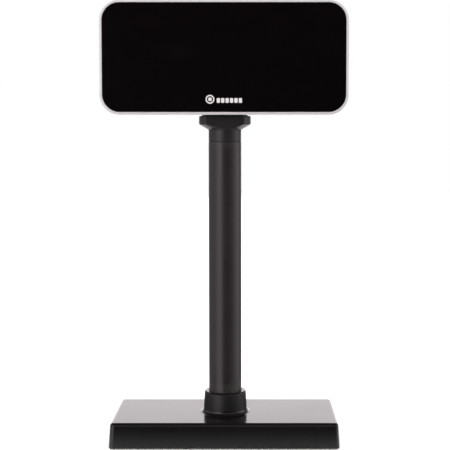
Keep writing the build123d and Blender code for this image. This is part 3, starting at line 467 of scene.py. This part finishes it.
def rounded_tile(x_mid, z_mid, width, height, radius, steps=5):
    """Outline of a rounded rectangle, anticlockwise seen from the front."""
    points = []
    for cx, cz, start in ((1, 1, 0), (-1, 1, 90), (-1, -1, 180), (1, -1, 270)):
        for step in range(steps + 1):
            angle = math.radians(start + 90 * step / steps)
            x = x_mid + cx * (width / 2 - radius) + radius * math.cos(angle)
            z = z_mid + cz * (height / 2 - radius) + radius * math.sin(angle)
            points.append((x, z))
    return points


def flat_ring(mesh, x_mid, z_mid, outer, inner, y_front, y_back, steps=48):
    """Adds a thin ring."""
    loops = []
    for radius, y in ((outer, y_front), (outer, y_back), (inner, y_back), (inner, y_front)):
        loop = []
        for step in range(steps):
            angle = 2 * math.pi * step / steps
            x = x_mid + radius * math.cos(angle)
            z = z_mid + radius * math.sin(angle)
            loop.append(mesh.verts.new((x, y, z)))
        loops.append(loop)
    for index in range(4):
        first, second = loops[index], loops[(index + 1) % 4]
        for step in range(steps):
            after = (step + 1) % steps
            mesh.faces.new((first[step], first[after], second[after], second[step]))


def window_print():
    """Plain ring with a core and a row of six tiles, low in the middle of the window."""
    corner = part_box("window")[0]
    y_back = corner.y - INK_GAP
    y_front = y_back - INK_THICK
    ring_z = corner.z + RING_ABOVE_EDGE
    tile_z = ring_z - TILE_BELOW_RING
    mesh = bmesh.new()
    flat_ring(mesh, RING_X, ring_z, RING_OUTER, RING_INNER, y_front, y_back)
    core = rounded_tile(RING_X, ring_z, CORE_SIDE, CORE_SIDE, CORE_ROUND)
    flat_outline(mesh, core, y_front, y_back)
    for index in range(TILE_COUNT):
        middle = TILE_FIRST_X + index * TILE_PITCH
        tile = rounded_tile(middle, tile_z, TILE_WIDTH, TILE_HEIGHT, TILE_ROUND)
        flat_outline(mesh, tile, y_front, y_back)
    bmesh.ops.recalc_face_normals(mesh, faces=mesh.faces)
    obj = mesh_object("window_print", mesh)
    obj.data.materials.append(print_ink("print_ink"))
    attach(obj, "head")


window_print()


# ---------------------------------------------------------------- lead across the tilt hinge
LEAD_RADIUS = 0.002
LEAD_SIDES = 20
# Control points of the lead's route, as heights below the hinge pin: one on its straight part, the
# last on the axis of the pole, and the first in line with the place of the lead in the head.
LEAD_STRAIGHT_BELOW = 0.042
LEAD_TURN_BELOW = 0.0225
LEAD_TURNED_BELOW = 0.0075


def route_line(points):
    """The points of a smooth curve that these points control."""
    data = bpy.data.curves.new("lead_route", "CURVE")
    data.dimensions = "3D"
    data.resolution_u = 24
    spline = data.splines.new("NURBS")
    spline.points.add(len(points) - 1)
    for point, place in zip(spline.points, points):
        point.co = (place[0], place[1], place[2], 1.0)
    spline.order_u = 3
    spline.use_endpoint_u = True
    holder = bpy.data.objects.new("lead_route", data)
    scene.collection.objects.link(holder)
    line = bpy.data.meshes.new_from_object(holder)
    places = [vertex.co.copy() for vertex in line.vertices]
    bpy.data.objects.remove(holder)
    bpy.data.curves.remove(data)
    bpy.data.meshes.remove(line)
    return places


def hinge_lead():
    """Soft lead from low on the neck up into the head, made as a round tube along a curved route in place of the
    part's own lead.
    """
    low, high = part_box("head_lead")
    lead_y = low.y + LEAD_RADIUS if abs(low.y) > abs(high.y) else high.y - LEAD_RADIUS
    pin = Vector(next(joint for joint in frame["joints"] if joint["name"] == "tilt")["pos_m"])
    route = [
        (0, 0, low.z),
        (0, 0, pin.z - LEAD_STRAIGHT_BELOW),
        (0, 0, pin.z - LEAD_TURN_BELOW),
        (0, lead_y, pin.z - LEAD_TURNED_BELOW),
        (0, lead_y, high.z),
    ]
    places = route_line(route)
    mesh = bmesh.new()
    rings = []
    for index, place in enumerate(places):
        before = places[max(index - 1, 0)]
        after = places[min(index + 1, len(places) - 1)]
        along = (after - before).normalized()
        side = Vector((1.0, 0.0, 0.0))
        across = along.cross(side).normalized()
        loop = []
        for step in range(LEAD_SIDES):
            angle = 2 * math.pi * step / LEAD_SIDES
            outward = math.cos(angle) * side + math.sin(angle) * across
            loop.append(mesh.verts.new(place + LEAD_RADIUS * outward))
        rings.append(loop)
    for first, second in zip(rings, rings[1:]):
        for step in range(LEAD_SIDES):
            after = (step + 1) % LEAD_SIDES
            mesh.faces.new((first[step], first[after], second[after], second[step]))
    mesh.faces.new(rings[0])
    mesh.faces.new(rings[-1])
    bmesh.ops.recalc_face_normals(mesh, faces=mesh.faces)
    obj = mesh_object("hinge_lead", mesh)
    for polygon in obj.data.polygons:
        polygon.use_smooth = len(polygon.vertices) == 4
    obj.data.materials.append(finishes["lead_jacket"])
    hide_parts("head_lead")
    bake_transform(obj)


hinge_lead()


# ---------------------------------------------------------------- floor
FLOOR_HALF_WIDTH = 4.0
# Mirror-like rays see half of the floor near the base. It fades out over this length in front of the
# base, and between these two distances from the pole everywhere.
FLOOR_FADE_IN_FRONT = 0.105
FLOOR_FADE_FROM = 0.14
FLOOR_FADE_TO = 0.22
HALF_SEEN = 0.5


def floor():
    """Wide pale floor, darker to diffuse rays, and out of the mirror image away from the base."""
    mesh = bmesh.new()
    bmesh.ops.create_grid(mesh, x_segments=24, y_segments=24, size=FLOOR_HALF_WIDTH)
    obj = mesh_object("floor", mesh)
    material, tree = empty_material("floor")
    position = tree.add("ShaderNodeNewGeometry").outputs["Position"]
    axes = tree.add("ShaderNodeSeparateXYZ", {0: position})
    grain = tree.noise(position, 260.0, 3.0)
    color = tree.mix(grain, (0.87, 0.92, 0.90, 1.0), (0.90, 0.95, 0.93, 1.0))
    path = tree.add("ShaderNodeLightPath")
    color = tree.mix(path.outputs["Is Diffuse Ray"], color, (0.45, 0.475, 0.465, 1.0))
    diffuse = tree.add("ShaderNodeBsdfDiffuse", {"Color": color})
    clear = tree.add("ShaderNodeBsdfTransparent")
    front = cad_low.y
    in_front = tree.remap(axes.outputs[1], front, front - FLOOR_FADE_IN_FRONT, HALF_SEEN, 1.0, smooth=True)
    reach = tree.add("ShaderNodeVectorMath", {0: position}, operation="LENGTH").outputs["Value"]
    far = tree.remap(reach, FLOOR_FADE_FROM, FLOOR_FADE_TO, HALF_SEEN, 1.0, smooth=True)
    factor = tree.math("MULTIPLY", tree.math("MAXIMUM", in_front, far), path.outputs["Is Glossy Ray"])
    mixed = tree.add("ShaderNodeMixShader", {0: factor, 1: diffuse.outputs[0], 2: clear.outputs[0]})
    out = tree.add("ShaderNodeOutputMaterial")
    tree.link(mixed.outputs[0], out.inputs[0])
    obj.data.materials.append(material)


floor()


# ---------------------------------------------------------------- soft studio light
# Bearing from the front in degrees, positive to the right, and brightness of the studio there, as
# seen in mirror-like surfaces. The wide dark part in front is a black flag at the camera.
STUDIO = [
    (-180, 2.17), (-163, 2.17), (-152, 0.40), (-128, 0.30), (-112, 0.60), (-90, 0.68), (-70, 0.80),
    (-52, 1.65), (-38, 2.17), (-24, 1.75), (-13, 0.22), (-8, 0.03), (8, 0.02), (28, 0.08),
    (45, 0.22), (60, 0.6), (80, 1.2), (98, 1.6), (116, 0.9), (130, 0.30), (152, 0.40),
    (163, 2.17), (180, 2.17),
]
STUDIO_PEAK = max(brightness for bearing, brightness in STUDIO)
STUDIO_TINT = (1.0, 0.945, 0.965, 1.0)
# Brightness in mirror-like surfaces straight overhead, and in a band over the flag in front.
OVERHEAD = 0.06
FRONT_BAND = 0.9
# Brightness on matte surfaces from behind, from in front and from above.
SOFT_FILL = 1.10
FRONT_FILL = 0.35
TOP_FILL = 2.0


def studio():
    """World: white to the camera, a soft fill for matte surfaces, soft boxes and dark flags for gloss.

    In a direction, y is -1 straight in front of the window and z is 1 straight up.
    """
    world = bpy.data.worlds.new("studio")
    scene.world = world
    world.use_nodes = True
    world.cycles.sampling_method = "NONE"
    world.node_tree.nodes.clear()
    tree = Tree(world.node_tree)
    direction = tree.add("ShaderNodeTexCoord").outputs["Generated"]
    axes = tree.add("ShaderNodeSeparateXYZ", {0: direction})
    x, y, z = axes.outputs
    bearing = tree.math("ARCTAN2", x, tree.math("MULTIPLY", y, -1.0))
    turn = tree.math("MULTIPLY_ADD", bearing, 0.5 / math.pi, 0.5)
    ramp = tree.add("ShaderNodeValToRGB", {0: turn})
    band = ramp.color_ramp
    band.interpolation = "EASE"
    while len(band.elements) < len(STUDIO):
        band.elements.new(0.5)
    # All places are set before the colours, because Blender may sort the elements when one moves.
    for element, (degrees, brightness) in zip(band.elements, STUDIO):
        element.position = degrees / 360 + 0.5
    for element, (degrees, brightness) in zip(band.elements, STUDIO):
        share = brightness / STUDIO_PEAK
        element.color = (share, share, share, 1.0)
    around = tree.math("MULTIPLY", ramp.outputs[0], STUDIO_PEAK)
    ahead = tree.remap(y, 0.0, -0.4, 0.0, FRONT_BAND)
    front_band = tree.math("MULTIPLY", ahead, tree.remap(z, 0.17, 0.30, 0.0, 1.0))
    around = tree.math("MAXIMUM", around, front_band)
    up = tree.remap(z, 0.35, 0.62, 0.0, 1.0, smooth=True)
    gloss = tree.blend(up, around, OVERHEAD)
    gloss = tree.math("MULTIPLY", gloss, tree.remap(z, -0.23, 0.0, 0.65, 1.0))
    low_fill = tree.remap(y, -0.9, 0.5, FRONT_FILL, SOFT_FILL, smooth=True)
    above = tree.remap(z, 0.05, 0.70, 0.0, 1.0, smooth=True)
    fill = tree.blend(above, low_fill, TOP_FILL)
    path = tree.add("ShaderNodeLightPath")
    level = tree.blend(path.outputs["Is Glossy Ray"], fill, gloss)
    level = tree.blend(path.outputs["Is Camera Ray"], level, 1.0)
    color = tree.mix(path.outputs["Is Camera Ray"], STUDIO_TINT, (1.0, 1.0, 1.0, 1.0))
    background = tree.add("ShaderNodeBackground", {"Color": color, "Strength": level})
    out = tree.add("ShaderNodeOutputWorld")
    tree.link(background.outputs[0], out.inputs[0])


studio()


# ---------------------------------------------------------------- camera
def camera():
    """The view of the photo."""
    data = bpy.data.cameras.new("camera")
    data.lens = 79.8
    data.shift_x = -0.056
    data.shift_y = -0.06
    data.clip_start = 0.05
    data.clip_end = 60.0
    obj = bpy.data.objects.new("camera", data)
    obj.location = (0.0231, -0.9141, 0.272)
    obj.rotation_euler = (math.radians(90 - 3.21), 0.0, 0.0)
    scene.collection.objects.link(obj)
    scene.camera = obj


camera()
